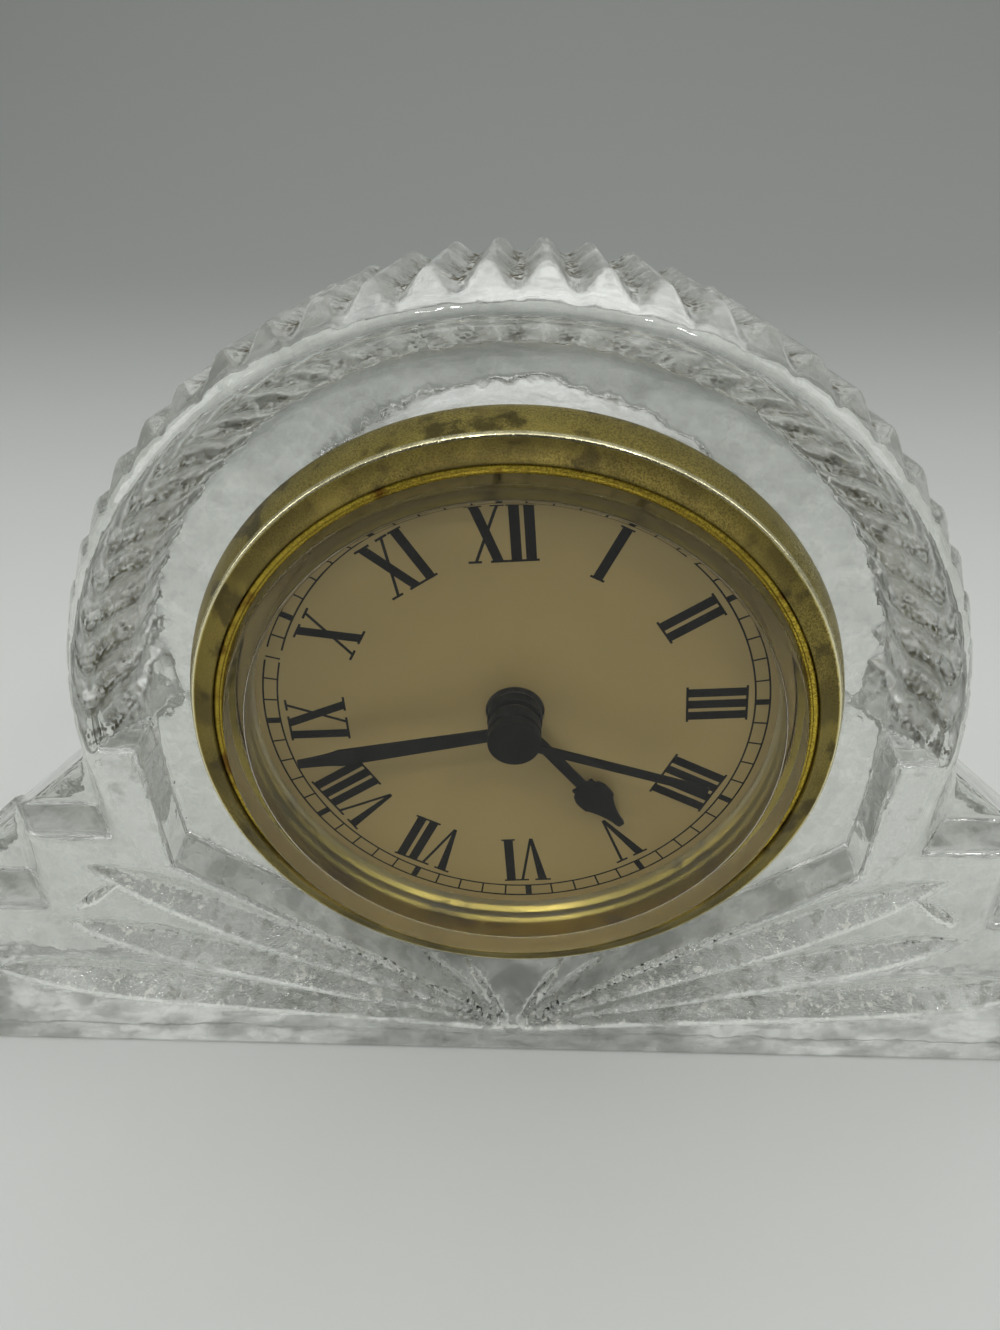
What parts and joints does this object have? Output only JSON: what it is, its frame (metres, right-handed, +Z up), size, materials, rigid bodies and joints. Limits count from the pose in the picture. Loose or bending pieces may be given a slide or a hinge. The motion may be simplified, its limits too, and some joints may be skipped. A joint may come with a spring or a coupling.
{
  "type": "crystal desk clock",
  "caption": "Arched pressed crystal desk clock with ribbed crest, stepped shoulders, fan cuts and a round pull-out quartz insert with roman dial.",
  "frame": {"origin": "centre of the flat foot, under the middle of the crystal's depth", "axes": "+X to the viewer's right, the dial faces -Y, +Z up"},
  "size_m": [0.159, 0.0336, 0.0971],
  "materials": {
    "crystal": "polished pressed crystal with fire-polished edges",
    "gilt_bezel": "satin lacquered brass, worn and darkened",
    "gilt_ring": "bright yellow lacquer with brown stains",
    "clear_lens": "moulded clear acrylic with a rounded edge",
    "dial_print": "cream painted sheet with black printed figures",
    "case_metal": "thin pressed sheet, plain",
    "grip_rubber": "soft ribbed band",
    "hand_black": "satin black paint",
    "housing_plastic": "moulded black plastic",
    "wheel_plastic": "moulded white acetal",
    "gear_brass": "bright cut brass",
    "steel": "plain steel",
    "magnet": "dark sintered magnet",
    "copper_wire": "enamelled copper wire, wound in layers",
    "board": "green lacquered circuit board",
    "can_metal": "bright drawn can",
    "cell_metal": "nickel plated steel",
    "contact_metal": "springy phosphor bronze"
  },
  "bodies": {
    "crystal": {"crystal_body": "crystal"},
    "insert": {"bezel": "gilt_bezel", "gilt_ring": "gilt_ring", "lens": "clear_lens", "dial": "dial_print", "case_cup": "case_metal", "grip_band": "grip_rubber", "movement_housing": "housing_plastic", "wheel_bridge": "housing_plastic", "back_cover": "housing_plastic", "cover_screws": "steel", "stator": "steel", "coil_core": "steel", "coil_winding": "copper_wire", "circuit_board": "board", "quartz_can": "can_metal", "battery_cell": "cell_metal", "battery_spring": "contact_metal", "battery_strap": "contact_metal"},
    "hour_hand_set": {"hour_hand": "hand_black", "hour_wheel": "housing_plastic"},
    "minute_hand_set": {"minute_hand": "hand_black", "minute_arbor": "gear_brass"},
    "motion_work": {"motion_wheel": "wheel_plastic"},
    "centre_wheel_set": {"centre_wheel": "gear_brass"},
    "third_wheel_set": {"third_wheel": "gear_brass"},
    "seconds_hand_set": {"seconds_hand": "hand_black", "seconds_cap": "hand_black", "seconds_arbor": "gear_brass"},
    "intermediate_set": {"intermediate_wheel": "wheel_plastic"},
    "rotor_set": {"rotor": "magnet"},
    "lid": {"battery_lid": "housing_plastic"},
    "knob": {"set_knob": "housing_plastic"}
  },
  "joints": [
    {"name": "insert_slide", "type": "slide", "parent": "crystal", "child": "insert", "axis": [0, -1, 0], "range_m": [0, 0.02]},
    {"name": "minute_turn", "type": "hinge", "parent": "insert", "child": "minute_hand_set", "pos_m": [0, -0.00995, 0.0492], "axis": [0, 1, 0], "continuous": true},
    {"name": "hour_turn", "type": "hinge", "parent": "insert", "child": "hour_hand_set", "pos_m": [0, -0.00995, 0.0492], "axis": [0, 1, 0], "continuous": true},
    {"name": "motion_turn", "type": "hinge", "parent": "insert", "child": "motion_work", "pos_m": [-0.00646, -0.00995, 0.05238], "axis": [0, 1, 0], "continuous": true},
    {"name": "knob_turn", "type": "hinge", "parent": "insert", "child": "knob", "pos_m": [-0.01244, -0.00995, 0.04837], "axis": [0, 1, 0], "continuous": true},
    {"name": "seconds_turn", "type": "hinge", "parent": "insert", "child": "seconds_hand_set", "pos_m": [0, -0.00995, 0.0492], "axis": [0, 1, 0], "continuous": true},
    {"name": "rotor_turn", "type": "hinge", "parent": "insert", "child": "rotor_set", "pos_m": [0.01303, -0.00995, 0.04601], "axis": [0, 1, 0], "continuous": true},
    {"name": "intermediate_turn", "type": "hinge", "parent": "insert", "child": "intermediate_set", "pos_m": [0.00938, -0.00995, 0.04982], "axis": [0, 1, 0], "continuous": true},
    {"name": "third_turn", "type": "hinge", "parent": "insert", "child": "third_wheel_set", "pos_m": [-0.0006, -0.00995, 0.05818], "axis": [0, 1, 0], "continuous": true},
    {"name": "centre_turn", "type": "hinge", "parent": "insert", "child": "centre_wheel_set", "pos_m": [0, -0.00995, 0.0492], "axis": [0, 1, 0], "continuous": true},
    {"name": "lid_turn", "type": "hinge", "parent": "insert", "child": "lid", "pos_m": [-0.01158, -0.00995, 0.0349], "axis": [0, 1, 0], "range_deg": [0, 60]}
  ],
  "couplings": [
    {"joint": "motion_turn", "follows": "minute_turn", "ratio": -0.33333},
    {"joint": "hour_turn", "follows": "minute_turn", "ratio": 0.083333},
    {"joint": "knob_turn", "follows": "minute_turn", "ratio": 1},
    {"joint": "intermediate_turn", "follows": "seconds_turn", "ratio": -6},
    {"joint": "rotor_turn", "follows": "seconds_turn", "ratio": 30},
    {"joint": "third_turn", "follows": "seconds_turn", "ratio": -0.13333},
    {"joint": "centre_turn", "follows": "seconds_turn", "ratio": 0.016667}
  ]
}
